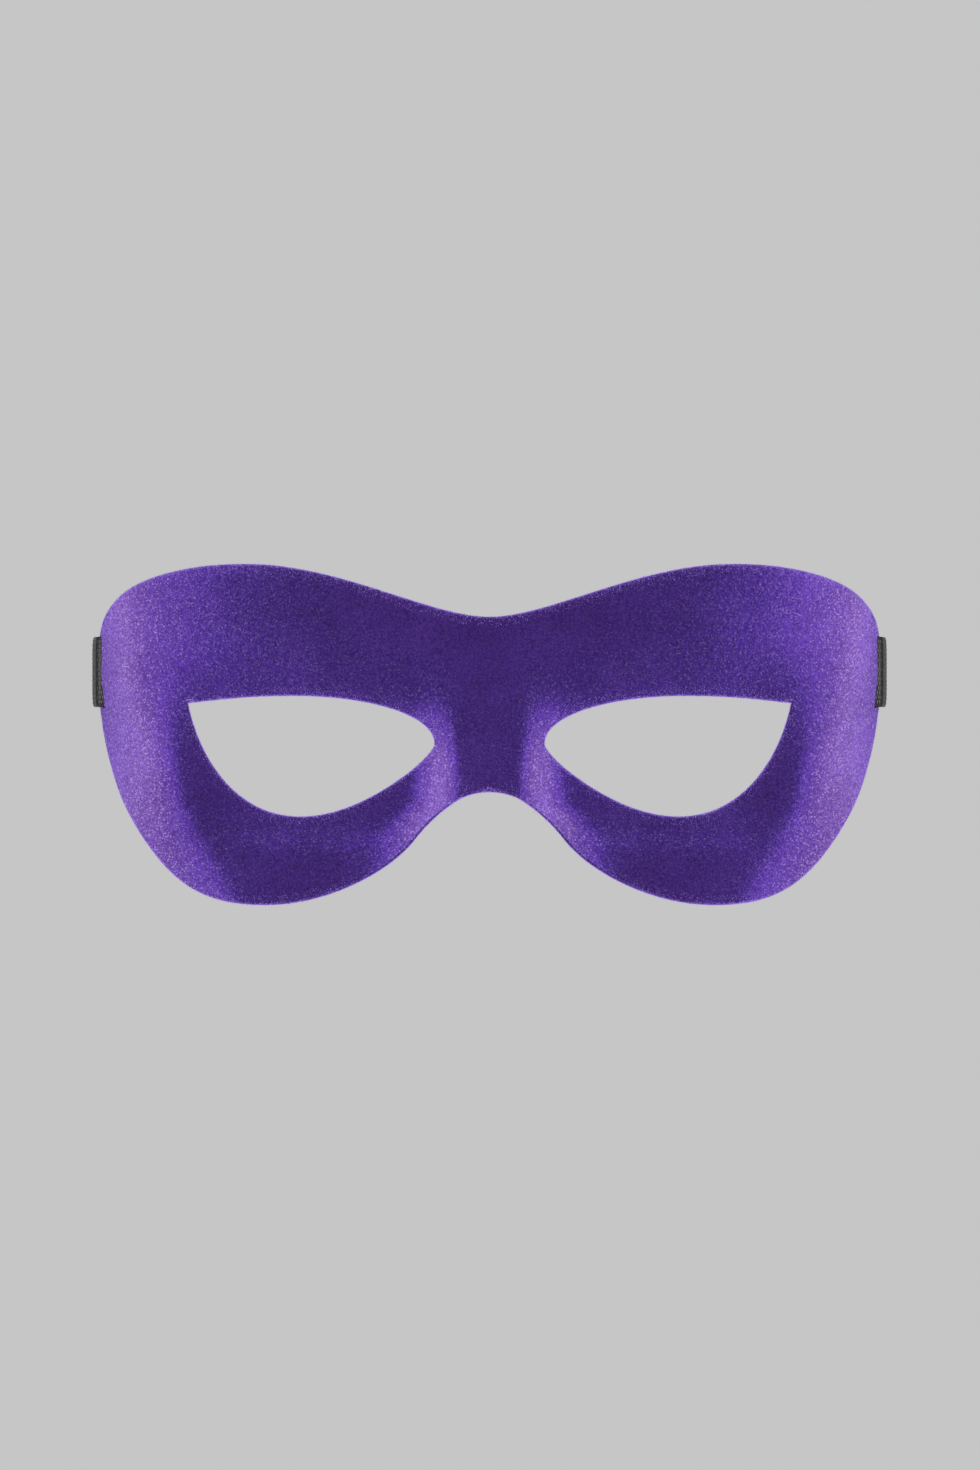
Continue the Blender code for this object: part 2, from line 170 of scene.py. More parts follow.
def srgb(code: str) -> Colour:
    """Turn an sRGB hex colour into the linear one that shaders take.

    Args:
        code: six hex digits.

    Returns:
        Linear red, green, blue and an alpha of 1.
    """
    shares = [int(code[i : i + 2], 16) / 255 for i in (0, 2, 4)]
    linear = [s / 12.92 if s <= 0.04045 else ((s + 0.055) / 1.055) ** 2.4 for s in shares]
    return (*linear, 1.0)


def add_node(tree: NodeTree, kind: str, settings: dict, links: dict) -> Node:
    """Add one node.

    Args:
        tree: the node tree it goes into.
        kind: the node's Blender type.
        settings: values by the name of a property or input, or by an input's number.
        links: output sockets by the name or number of the input that each feeds.

    Returns:
        The new node.
    """
    node = tree.nodes.new(kind)
    for name, value in settings.items():
        if isinstance(name, str) and hasattr(node, name):
            setattr(node, name, value)
        else:
            node.inputs[name].default_value = value
    for name, socket in links.items():
        tree.links.new(socket, node.inputs[name])
    return node


def add_maths(tree: NodeTree, operation: str, *values: NodeSocket | float) -> NodeSocket:
    """Add a step of arithmetic.

    Args:
        tree: the node tree it goes into.
        operation: what it does, as Blender calls it.
        values: the sockets and numbers that it takes.

    Returns:
        Its result.
    """
    numbers = {i: value for i, value in enumerate(values) if isinstance(value, float)}
    links = {i: value for i, value in enumerate(values) if i not in numbers}
    settings = {"operation": operation, **numbers}
    return add_node(tree, "ShaderNodeMath", settings, links).outputs[0]


def add_range(
    tree: NodeTree, value: NodeSocket, old: tuple[float, float], new: tuple[float, float]
) -> NodeSocket:
    """Add a step that takes a value from an old range to a new one, and stops at its ends."""
    ends = {"From Min": old[0], "From Max": old[1], "To Min": new[0], "To Max": new[1]}
    return add_node(tree, "ShaderNodeMapRange", ends, {"Value": value}).outputs[0]


def new_material(name: str) -> tuple[Material, NodeTree]:
    """Start a material with nothing in it but its output.

    Args:
        name: the material's name.

    Returns:
        The material and its node tree.
    """
    material = bpy.data.materials.new(name)
    material.use_nodes = True
    material.node_tree.nodes.clear()
    return material, material.node_tree


def millimetre_point(tree: NodeTree) -> NodeSocket:
    """Add the surface point in millimetres, so that pattern scales read as real sizes."""
    place = add_node(tree, "ShaderNodeTexCoord", {}, {})
    to_mm = {"operation": "SCALE", "Scale": 1 / MM}
    return add_node(tree, "ShaderNodeVectorMath", to_mm, {0: place.outputs["Object"]}).outputs[0]


def finish_surface(tree: NodeTree, kind: str, settings: dict, links: dict) -> None:
    """Add a material's shader, as add_node does, and join it to a new output."""
    shader = add_node(tree, kind, settings, links)
    add_node(tree, "ShaderNodeOutputMaterial", {}, {"Surface": shader.outputs[0]})


def finish_yarns(
    tree: NodeTree, rise: NodeSocket, colours: tuple[str, str], bump: dict, settings: dict
) -> None:
    """Finish a material of fibres or yarns that stand up from a darker ground: its colour follows
    their height, as painted shade between them and a painted highlight on their tops.

    Args:
        tree: the material's node tree.
        rise: how high the surface is, from 0 between the yarns to 1 on top of them.
        colours: the colours between them and on top, the painted shade and the painted highlight.
        bump: the relief's settings.
        settings: the shader's settings.
    """
    ends = {"data_type": "RGBA", 6: srgb(colours[0]), 7: srgb(colours[1])}
    colour = add_node(tree, "ShaderNodeMix", ends, {"Factor": rise})
    relief = add_node(tree, "ShaderNodeBump", bump, {"Height": rise})
    links = {"Base Color": colour.outputs[2], "Normal": relief.outputs[0]}
    finish_surface(tree, "ShaderNodeBsdfPrincipled", settings, links)


def face_outwards(mesh: Mesh) -> None:
    """Turn all faces of a closed mesh outwards."""
    builder = bmesh.new()
    builder.from_mesh(mesh)
    bmesh.ops.recalc_face_normals(builder, faces=builder.faces)
    builder.to_mesh(mesh)
    builder.free()


def add_object(name: str, data: ID) -> Object:
    """Make an object of a mesh, a light or a camera and put it in the scene."""
    item = bpy.data.objects.new(name, data)
    bpy.context.scene.collection.objects.link(item)
    return item


def new_piece(name: str, points: Array | list, faces: list, *materials: Material) -> Object:
    """Make an object of points and faces.

    Args:
        name: its name.
        points: its points.
        faces: the numbers of each face's points.
        materials: its materials, by slot.

    Returns:
        The object.
    """
    mesh = bpy.data.meshes.new(name)
    mesh.from_pydata([tuple(point) for point in points], [], faces)
    for material in materials:
        mesh.materials.append(material)
    return add_object(name, mesh)


@dataclass(frozen=True)
class VelvetFinish:
    """Short-pile polyester velvet, woven and sheared.

    Seen straight into its pile it is a deep dark purple. Seen across the pile, on slopes and
    edges, the fibre tips catch the light and it turns a pale violet: this sheen is painted into
    the colour by how the surface faces the eye, with only a weak sheen from the shader on top.
    The pile stands in fine grains that lean a little this way and that, and single tips glint,
    as painted glints.
    """

    # Painted sheen: the pile's colour at each share of the way from facing the eye to edge-on,
    # paler where the fibre tips would catch the light
    painted_sheen_ramp: tuple[tuple[float, str], ...] = (
        (0.00, "331E5A"),
        (0.06, "342062"),
        (0.10, "43297D"),
        (0.15, "523391"),
        (0.22, "593A96"),
        (0.32, "65439D"),
        (0.42, "7753AD"),
        (0.55, "8964C4"),
        (0.68, "8D67D3"),
        (1.00, "7B57C6"),
    )
    # Painted glints: this pale violet is mixed into the colour on rare fibre tips, more on slopes,
    # in place of the light that single tips catch
    glints: str = "C9ADF2"
    glint_mm: float = 0.27
    glint_rarity: float = 7.0
    fewest_glints: float = 0.01
    most_glints: float = 0.80
    most_glints_at: float = 0.5
    # The size in millimetres and the detail of the grain, the lean and the nap
    noises: tuple[tuple[float, float], ...] = ((0.45, 2.0), (1.5, 1.0), (16.0, 2.0))
    noise_roughness: float = 0.65
    grain_span: tuple[float, float] = (0.34, 0.66)
    nap_span: tuple[float, float] = (0.3, 0.7)
    # How many times longer the grains run back along the head than up or across
    brushing: float = 3.0
    grain_rise_mm: float = 0.07
    lean_rise_mm: float = 0.07
    dimmest: float = 0.66
    brightest: float = 1.34
    nap_share: float = 0.14
    sheen: float = 0.10
    sheen_roughness: float = 0.4

    def shade(self, tree: NodeTree, facing: NodeSocket) -> NodeSocket:
        """Add the painted sheen: the pile's colour by how it faces the eye.

        Args:
            tree: the material's node tree.
            facing: the share of the way from facing the eye to edge-on.

        Returns:
            The colour.
        """
        node = add_node(tree, "ShaderNodeValToRGB", {}, {"Fac": facing})
        stops = node.color_ramp.elements
        for at, code in self.painted_sheen_ramp[1:-1]:
            stops.new(at).color = srgb(code)
        stops[0].color, stops[-1].color = srgb(self.painted_sheen_ramp[0][1]), srgb(self.painted_sheen_ramp[-1][1])
        return node.outputs["Color"]

    def glint(self, tree: NodeTree, point: NodeSocket, facing: NodeSocket) -> NodeSocket:
        """Add the painted glints: how strongly each fibre tip glints, most not at all, and more on
        the slopes.

        Args:
            tree: the material's node tree.
            point: the surface point in millimetres.
            facing: the share of the way from facing the eye to edge-on.

        Returns:
            The share of the glints' colour.
        """
        cells = {"Scale": 1 / self.glint_mm}
        tips = add_node(tree, "ShaderNodeTexVoronoi", cells, {"Vector": point})
        chance = add_node(tree, "ShaderNodeSeparateColor", {}, {"Color": tips.outputs["Color"]})
        rare = add_maths(tree, "POWER", chance.outputs["Red"], self.glint_rarity)
        few, many = self.fewest_glints, self.most_glints
        share = add_range(tree, facing, (0.0, self.most_glints_at), (few, many))
        return add_maths(tree, "MULTIPLY", rare, share)

    def material(self) -> Material:
        """Make the velvet's material."""
        material, tree = new_material("Purple polyester velvet")
        brushed_back = {"operation": "MULTIPLY", 1: (1, 1 / self.brushing, 1)}
        links = {0: millimetre_point(tree)}
        point = add_node(tree, "ShaderNodeVectorMath", brushed_back, links).outputs[0]
        found = []
        for size, detail in self.noises:
            pattern = {"Scale": 1 / size, "Detail": detail, "Roughness": self.noise_roughness}
            noise = add_node(tree, "ShaderNodeTexNoise", pattern, {"Vector": point})
            found.append(noise.outputs["Fac"])
        grain, lean, nap = found
        rise = {"Distance": self.lean_rise_mm * MM}
        waves = add_node(tree, "ShaderNodeBump", rise, {"Height": lean})
        rise = {"Distance": self.grain_rise_mm * MM}
        links = {"Height": grain, "Normal": waves.outputs[0]}
        normal = add_node(tree, "ShaderNodeBump", rise, links).outputs[0]
        across = add_node(tree, "ShaderNodeLayerWeight", {}, {"Normal": normal})
        facing = across.outputs["Facing"]
        catch = add_range(tree, grain, self.grain_span, (self.dimmest, self.brightest))
        brushed = add_range(tree, nap, self.nap_span, (1 - self.nap_share, 1 + self.nap_share))
        light = add_maths(tree, "MULTIPLY", catch, brushed)
        # The painted sheen, made lighter and darker at random by the grain and the nap
        links = {"Color": self.shade(tree, facing), "Value": light}
        pile = add_node(tree, "ShaderNodeHueSaturation", {}, links)
        # Painted glints mixed into the painted sheen on rare fibre tips
        tinted = {"data_type": "RGBA", 7: srgb(self.glints)}
        links = {"Factor": self.glint(tree, point, facing), 6: pile.outputs[0]}
        colour = add_node(tree, "ShaderNodeMix", tinted, links)
        settings = {
            "Roughness": 1.0,
            "Specular IOR Level": 0.0,
            "Sheen Weight": self.sheen,
            "Sheen Roughness": self.sheen_roughness,
            "Sheen Tint": srgb(self.painted_sheen_ramp[-1][1]),
        }
        links = {"Base Color": colour.outputs[2], "Normal": normal}
        finish_surface(tree, "ShaderNodeBsdfPrincipled", settings, links)
        return material


@dataclass(frozen=True)
class FibreFinish:
    """Single polyester fibres of the pile, seen side on along the cut edges: softly shiny, and
    given a pale colour as a painted highlight for the light line that lit fibre tips make along
    the edges."""

    # A painted highlight: paler than the velvet's own purple, so the fibres draw a light line
    # along the cut edges
    pale: str = "A98BE6"
    roughness: float = 0.6
    sheen: float = 0.2

    def material(self) -> Material:
        """Make the fibres' material."""
        material, tree = new_material("Purple polyester fibre")
        settings = {
            "Base Color": srgb(self.pale),
            "Roughness": self.roughness,
            "Sheen Weight": self.sheen,
        }
        finish_surface(tree, "ShaderNodeBsdfPrincipled", settings, {})
        return material


@dataclass(frozen=True)
class FeltFinish:
    """Pressed wool felt, the plain back of the shell: flat, matt and a little fibrous."""

    # The colour follows the fibres' height: lighter on their tops and darker in the hollows
    # between them, as painted shade
    light: str = "4C3A74"
    dark: str = "2A1C47"
    fibre_mm: float = 0.8
    fibre_detail: float = 5.0
    fibre_roughness: float = 0.7
    fibre_bend: float = 1.5
    bump_mm: float = 0.12
    bump_strength: float = 0.7
    roughness: float = 0.95
    shine: float = 0.1
    sheen: float = 0.15

    def material(self) -> Material:
        """Make the felt's material."""
        material, tree = new_material("Purple pressed felt")
        pattern = {
            "Scale": 1 / self.fibre_mm,
            "Detail": self.fibre_detail,
            "Roughness": self.fibre_roughness,
            "Distortion": self.fibre_bend,
        }
        fibres = add_node(tree, "ShaderNodeTexNoise", pattern, {"Vector": millimetre_point(tree)})
        bump = {"Strength": self.bump_strength, "Distance": self.bump_mm * MM}
        settings = {
            "Roughness": self.roughness,
            "Specular IOR Level": self.shine,
            "Sheen Weight": self.sheen,
        }
        finish_yarns(tree, fibres.outputs["Fac"], (self.dark, self.light), bump, settings)
        return material


@dataclass(frozen=True)
class ElasticFinish:
    """Woven polyester elastic, dyed black: lengthwise ribs crossed by fine picks, with a dull
    shine on the yarn."""

    # The black yarns' tops are painted lighter and the gaps between them darker, following the
    # weave's height: a painted highlight on the tops and painted shade in the gaps
    yarn: str = "1B1B1C"
    between: str = "0A0A0B"
    rib_mm: float = 1.07
    pick_mm: float = 0.62
    rib_fullness: float = 0.5
    pick_fullness: float = 0.6
    # How far the picks of every second rib are moved along, in shares of a pick
    pick_shift: float = 0.5
    roughness: float = 0.5
    sheen: float = 0.12
    sheen_roughness: float = 0.4
    bump_mm: float = 0.12
    bump_strength: float = 0.8

    def material(self) -> Material:
        """Make the elastic's material, on the strap's own map of millimetres."""
        material, tree = new_material("Black woven elastic")
        weave = add_node(tree, "ShaderNodeUVMap", {"uv_map": "weave"}, {})
        parts = add_node(tree, "ShaderNodeSeparateXYZ", {}, {0: weave.outputs[0]})
        rib = add_maths(tree, "DIVIDE", parts.outputs["Y"], self.rib_mm)
        odd = add_maths(tree, "MODULO", add_maths(tree, "FLOOR", rib), 2.0)
        shift = add_maths(tree, "MULTIPLY", odd, self.pick_shift)
        even_pick = add_maths(tree, "DIVIDE", parts.outputs["X"], self.pick_mm)
        pick = add_maths(tree, "ADD", even_pick, shift)
        rises = []
        for count, fullness in ((rib, self.rib_fullness), (pick, self.pick_fullness)):
            sine = add_maths(tree, "SINE", add_maths(tree, "MULTIPLY", count, math.pi))
            rises.append(add_maths(tree, "POWER", add_maths(tree, "ABSOLUTE", sine), fullness))
        yarn = add_maths(tree, "MULTIPLY", *rises)
        bump = {"Strength": self.bump_strength, "Distance": self.bump_mm * MM}
        settings = {
            "Roughness": self.roughness,
            "Sheen Weight": self.sheen,
            "Sheen Roughness": self.sheen_roughness,
        }
        finish_yarns(tree, yarn, (self.between, self.yarn), bump, settings)
        return material


@dataclass(frozen=True)
class PaperFinish:
    """Matt seamless background paper, lit so evenly that it shows one pale grey with no shine."""

    grey: str = "C6C6C6"

    def material(self) -> Material:
        """Make the paper's material."""
        material, tree = new_material("Grey background paper")
        finish_surface(tree, "ShaderNodeEmission", {"Color": srgb(self.grey)}, {})
        return material


class SmoothColumn:
    """One column of a height table, read smoothly between its rows without overshooting them."""

    def __init__(self, rows: list, column: str) -> None:
        """Take a column.

        Args:
            rows: the table, whose rows have a height.
            column: the column's name.
        """
        self.heights = np.array([row.height for row in rows])
        self.values = np.array([getattr(row, column) for row in rows])
        secants = np.diff(self.values) / np.diff(self.heights)
        product = secants[:-1] * secants[1:]
        total = np.where(product > 0, secants[:-1] + secants[1:], 1.0)
        inner = np.where(product > 0, 2 * product / total, 0.0)
        self.slopes = np.concatenate([secants[:1], inner, secants[-1:]])

    def __call__(self, height: Array) -> Array:
        """Read the column at any heights."""
        height = np.clip(height, self.heights[0], self.heights[-1])
        i = np.clip(np.searchsorted(self.heights, height, "right") - 1, 0, len(self.heights) - 2)
        span = self.heights[i + 1] - self.heights[i]
        share = (height - self.heights[i]) / span
        rest = 1 - share
        return (
            self.values[i] * (1 + 2 * share) * rest**2
            + self.values[i + 1] * (3 - 2 * share) * share**2
            + span * self.slopes[i] * share * rest**2
            - span * self.slopes[i + 1] * share**2 * rest
        )


def unit(vectors: Array) -> Array:
    """Scale vectors, given along the last axis, to length 1."""
    return vectors / np.linalg.norm(vectors, axis=-1, keepdims=True)


def heading(degrees: float) -> Array:
    """The flat unit vector at an angle from the first axis."""
    return np.array([math.cos(math.radians(degrees)), math.sin(math.radians(degrees))])


def bezier(
    start: Point, start_handle: Point, end_handle: Point, end: Point, share: Array | float
) -> Point:
    """Points on a cubic curve.

    Args:
        start: the first point.
        start_handle: the handle after it.
        end_handle: the handle before the last point.
        end: the last point.
        share: a share of the way, or many in a last axis of length 1.

    Returns:
        One point for each share.
    """
    rest = 1 - share
    return (
        start * rest**3
        + start_handle * 3 * rest**2 * share
        + end_handle * 3 * rest * share**2
        + end * share**3
    )


@dataclass
class MaskForm:
    """The curved face of the mask and its outlines."""

    width: float = 178.2 * MM
    height: float = 75.5 * MM
    eye_width: float = 54.8 * MM
    eye_height: float = 26.5 * MM
    eye_apart: float = 79.4 * MM
    eye_drop: float = 4.7 * MM
    side_depth: float = 48.0 * MM
    side_margin: float = 1.5 * MM
    ridge_rise: float = 4.6 * MM
    eye_setback: float = 8.0 * MM
    crown_radius: float = 70.0 * MM
    cheek_radius: float = 110.0 * MM
    wall: float = 2.0 * MM
    brow_flatness: float = 2.3
    brow_limit: float = 0.9995
    crown_start: float = 0.32
    cheek_start: float = -0.33
    setback_end: float = 0.985
    setback_soft: float = 0.075
    slope_reach: float = 0.02 * MM

    def __post_init__(self) -> None:
        """Work out the sizes and columns that follow from the fields."""
        self.half = self.width / 2
        self.eye_centre = self.eye_apart / 2
        self.eye_inner = self.eye_centre - self.eye_width / 2
        self.eye_outer = self.eye_centre + self.eye_width / 2
        self.side = {name: SmoothColumn(SIDE_ROWS, name) for name in SideRow._fields[1:]}
        self.nose = {name: SmoothColumn(NOSE_ROWS, name) for name in NoseRow._fields[1:]}
        self.seat = 0.0
        self.seat = -float(self.depth(0.0, 0.0)) - self.wall

    def depth(self, x: Array, z: Array) -> Array:
        """How far back the velvet lies at places seen from the front.

        Args:
            x: places across the mask.
            z: their heights.

        Returns:
            Their Y.
        """
        across = np.abs(x)
        height = z / self.height
        turn = np.minimum(across / (self.half + self.side_margin), self.brow_limit)
        depth = self.side["wrap"](height) * self.side_depth
        depth = depth * (1 - (1 - turn**self.brow_flatness) ** (1 / self.brow_flatness))
        soft = self.side["bend_soft"](height) * self.half
        past = (across - self.side["bend_at"](height) * self.half) / soft
        bend = np.maximum(past, 0) + np.log1p(np.exp(-np.abs(past)))
        depth = depth + self.side["bend_slope"](height) * soft * bend
        edge = self.nose["edge_at"](height) * self.eye_inner
        ridge = 1 / (1 + (across / edge) ** self.nose["sharpness"](height))
        fade = 1 / (1 + np.exp((across / self.eye_outer - self.setback_end) / self.setback_soft))
        depth = depth - self.nose["forward"](height) * self.ridge_rise * ridge
        depth = depth + self.nose["setback"](height) * self.eye_setback * (1 - ridge) * fade
        crown = np.maximum(z - self.crown_start * self.height, 0)
        cheek = np.maximum(self.cheek_start * self.height - z, 0)
        rolled = crown**2 / (2 * self.crown_radius) + cheek**2 / (2 * self.cheek_radius)
        return depth + rolled + self.seat

    def velvet(self, places: Array) -> Array:
        """Points of the velvet's outer face at places seen from the front."""
        x, z = places[..., 0], places[..., 1]
        return np.stack([x, self.depth(x, z), z], axis=-1)

    def through(self, places: Array) -> Array:
        """The unit vector through the wall, from the velvet towards the face, at each place."""
        x, z = places[..., 0], places[..., 1]
        low = np.maximum(x - self.slope_reach, -self.half)
        high = np.minimum(x + self.slope_reach, self.half)
        slope_x = (self.depth(high, z) - self.depth(low, z)) / (high - low)
        rise = self.depth(x, z + self.slope_reach) - self.depth(x, z - self.slope_reach)
        slope_z = rise / (2 * self.slope_reach)
        return unit(np.stack([-slope_x, np.ones_like(slope_x), -slope_z], axis=-1))

    def outline(self, index: int, shares: Array) -> Array:
        """Places on the half outline after a knot, or on the centre line after the last.

        Args:
            index: the knot's number.
            shares: shares of the way to the next knot.

        Returns:
            Places seen from the front.
        """
        here = OUTLINE_KNOTS[index]
        after = OUTLINE_KNOTS[(index + 1) % len(OUTLINE_KNOTS)]
        start = np.array([here.x * self.half, here.z * self.height])
        end = np.array([after.x * self.half, after.z * self.height])
        shares = shares[:, None]
        if index == len(OUTLINE_KNOTS) - 1:
            return start + (end - start) * shares
        start_handle = start + heading(here.heading) * here.after * self.half
        end_handle = end - heading(after.heading) * after.before * self.half
        return bezier(start, start_handle, end_handle, end, shares)

    def eye(self, place: float) -> Array:
        """A place round the eye hole, where whole numbers are its knots."""
        index = math.floor(place) % len(EYE_KNOTS)
        here = EYE_KNOTS[index]
        after = EYE_KNOTS[(index + 1) % len(EYE_KNOTS)]
        size = np.array([self.eye_width, self.eye_height])
        start = np.array([here.x, here.z]) * size
        end = np.array([after.x, after.z]) * size
        start_handle = start + heading(here.heading_out) * here.after * self.eye_width
        end_handle = end - heading(after.heading_in) * after.before * self.eye_width
        point = bezier(start, start_handle, end_handle, end, place - math.floor(place))
        return point + np.array([self.eye_centre, -self.eye_drop])


@dataclass
class Spokes:
    """Facing places on the eye hole and the half outline, in order round the hole."""

    form: MaskForm
    fineness: int

    def __post_init__(self) -> None:
        """Work out the places."""
        eyes, rims, on_rim = [], [], []
        for index, knot in enumerate(OUTLINE_KNOTS):
            last = index == len(OUTLINE_KNOTS) - 1
            after = OUTLINE_KNOTS[(index + 1) % len(OUTLINE_KNOTS)]
            eye_end = after.eye_at + (len(EYE_KNOTS) if last else 0)
            shares = np.arange(knot.steps * self.fineness) / (knot.steps * self.fineness)
            places = knot.eye_at + (eye_end - knot.eye_at) * shares
            eyes += [self.form.eye(place) for place in places]
            rims += list(self.form.outline(index, shares))
            on_rim += [not last or share == 0 for share in shares]
        self.eyes = np.array(eyes)
        self.rims = np.array(rims)
        self.on_rim = np.array(on_rim)


def lengths_along(points: Array) -> Array:
    """The length of a line up to each of its points."""
    steps = np.linalg.norm(np.diff(points, axis=0), axis=1)
    return np.concatenate([[0], np.cumsum(steps)])


def mitred(first: Array, second: Array) -> Array:
    """The directions between unit vectors, as long as a mitre makes them."""
    return (first + second) / (1 + np.sum(first * second, axis=-1, keepdims=True))


def mirrored(points: Array) -> Array:
    """The same points or places on the other side of the centre plane."""
    return np.concatenate([-points[..., :1], points[..., 1:]], axis=-1)


def into_wall(
    before: Array, here: Array, after: Array, through: Array
) -> Array:
    """The direction along the face into the wall from outlines run clockwise, mitred at corners.

    Args:
        before: each point's neighbour before it.
        here: the points.
        after: each point's neighbour after it.
        through: the directions through the wall there.

    Returns:
        One direction for each point.
    """
    first = unit(np.cross(through, here - before))
    second = unit(np.cross(through, after - here))
    return mitred(first, second)


@dataclass
class CutEdge:
    """One edge of the velvet, cut straight back wherever the wall would show past it."""

    form: MaskForm
    places: Array
    before: Array
    after: Array
    side: MaskEdge
    hiding_steps: int = 6

    def __post_init__(self) -> None:
        """Work out the edge's points, its directions and the places hidden behind it."""
        sign = 1 if self.side is MaskEdge.OUTLINE else -1
        step = self.after - self.before
        outwards = unit(np.stack([-step[:, 1], step[:, 0]], axis=1)) * sign
        self.points = self.form.velvet(self.places)
        self.through = self.form.through(self.places)
        before, after = self.form.velvet(self.before), self.form.velvet(self.after)
        self.into = into_wall(before, self.points, after, self.through) * sign
        self.hidden = self.places
        for _ in range(self.hiding_steps):
            through = self.form.through(self.hidden)[:, [0, 2]] * self.form.wall
            shown = np.maximum(np.sum(through * outwards, axis=1, keepdims=True), 0)
            self.hidden = self.places - outwards * shown

    def rounded(self, radius: float, steps: int) -> Array:
        """Points round the edge.

        Args:
            radius: how round the velvet lies over the edge.
            steps: how many steps each quarter takes.

        Returns:
            For each place, its points from the velvet to the back.
        """
        turns = np.linspace(0, math.pi / 2, steps + 1)[None, :, None]
        inset, down = radius * (1 - np.sin(turns)), radius * (1 - np.cos(turns))
        into = self.into[:, None]
        near = self.points[:, None] + into * inset + self.through[:, None] * down
        behind = self.form.velvet(self.hidden)[:, None]
        through = self.form.through(self.hidden)[:, None]
        far = behind + into * inset + through * (self.form.wall - down)
        return np.concatenate([near, far[:, ::-1]], axis=1)


@dataclass
class VelvetShell:
    """The moulded shell covered in velvet, with its eye holes, rounded edges and strap slots."""

    form: MaskForm
    rings: int = 44
    edge_steps: int = 4
    fineness: int = 4
    samples: int = 96
    rim_round: float = 0.45 * MM
    edge_clearance: float = 1.4
    merge: float = 0.01 * MM

    def __post_init__(self) -> None:
        """Work out the spokes and both edges."""
        self.spokes = Spokes(self.form, self.fineness)
        eyes = self.spokes.eyes
        before, after = np.roll(eyes, 1, axis=0), np.roll(eyes, -1, axis=0)
        self.eye_edge = CutEdge(self.form, eyes, before, after, MaskEdge.EYE_HOLE)
        rims = self.spokes.rims[self.spokes.on_rim]
        before = np.concatenate([mirrored(rims[1:2]), rims[:-1]])
        after = np.concatenate([rims[1:], mirrored(rims[-2:-1])])
        self.rim_edge = CutEdge(self.form, rims, before, after, MaskEdge.OUTLINE)

    def even_places(self, starts: Array, ends: Array) -> Array:
        """Places from the eye hole to the rim of each spoke, even along the curved face.

        Args:
            starts: places on the eye hole.
            ends: places on the rim or the centre line.

        Returns:
            For each spoke its places, with room left for the rounded edges.
        """
        shares = np.linspace(0, 1, self.samples + 1)
        run = ends - starts
        places = starts[:, None] + run[:, None] * shares[None, :, None]
        steps = np.linalg.norm(np.diff(self.form.velvet(places), axis=1), axis=-1)
        clear = self.rim_round * self.edge_clearance
        found = []
        for step, on_rim in zip(steps, self.spokes.on_rim):
            length = np.concatenate([[0.0], np.cumsum(step)])
            last = length[-1] - (clear if on_rim else 0)
            inner = np.linspace(clear, last, self.rings - (1 if on_rim else 0))
            wanted = [0.0, *inner, length[-1]] if on_rim else [0.0, *inner]
            found.append(np.interp(wanted, length, shares))
        return starts[:, None] + run[:, None] * np.array(found)[:, :, None]

    def build(self, velvet: Material, back: Material, cutter: Object) -> Object:
        """Build the shell.

        Args:
            velvet: the outer face's and the edges' material.
            back: the inner face's material.
            cutter: the solid that cuts the strap slots.

        Returns:
            The shell's object.
        """
        outer = self.form.velvet(self.even_places(self.spokes.eyes, self.spokes.rims))
        hidden_rims = self.spokes.rims.copy()
        hidden_rims[self.spokes.on_rim] = self.rim_edge.hidden
        behind = self.even_places(self.eye_edge.hidden, hidden_rims)
        inner = self.form.velvet(behind) + self.form.through(behind) * self.form.wall
        eyes = self.eye_edge.rounded(self.rim_round, self.edge_steps)
        rims = self.rim_edge.rounded(self.rim_round, self.edge_steps)
        rim_points = 2 * self.edge_steps + 2
        verts: list[Array] = []
        loops: list[list[int | None]] = []
        for i, on_rim in enumerate(self.spokes.on_rim):
            middle = [outer[i, -1], *[None] * (rim_points - 2), inner[i, -1]]
            rim = rims[i] if on_rim else middle
            loop = []
            for point in [*outer[i, 1:-1], *rim, *inner[i, -2:0:-1], *eyes[i, ::-1]]:
                loop.append(None if point is None else len(verts))
                if point is not None:
                    verts.append(point)
            loops.append(loop)
        first_back = self.rings - 1 + rim_points - 1
        last_back = first_back + self.rings
        faces, slots = [], []
        for loop, after in zip(loops, loops[1:] + loops[:1]):
            for k in range(len(loop)):
                corners = (loop[k - 1], after[k - 1], after[k], loop[k])
                if None not in corners:
                    faces.append(corners)
                    on_back = first_back < k <= last_back
                    slots.append((ShellFace.BACK if on_back else ShellFace.VELVET).value)
        shell = new_piece("velvet_shell", verts, faces, velvet, back)
        shell.data.polygons.foreach_set("material_index", slots)
        shell.data.shade_smooth()
        mirror = shell.modifiers.new("Other half", "MIRROR")
        mirror.merge_threshold = self.merge
        cut = shell.modifiers.new("Strap slots", "BOOLEAN")
        cut.operation = "DIFFERENCE"
        cut.solver = "EXACT"
        cut.object = cutter
        apply_modifiers(shell)
        bpy.data.objects.remove(cutter, do_unlink=True)
        return shell


def apply_modifiers(item: Object) -> None:
    """Turn what an object's modifiers make into its own mesh."""
    graph = bpy.context.evaluated_depsgraph_get()
    mesh = bpy.data.meshes.new_from_object(item.evaluated_get(graph))
    item.modifiers.clear()
    item.data = mesh


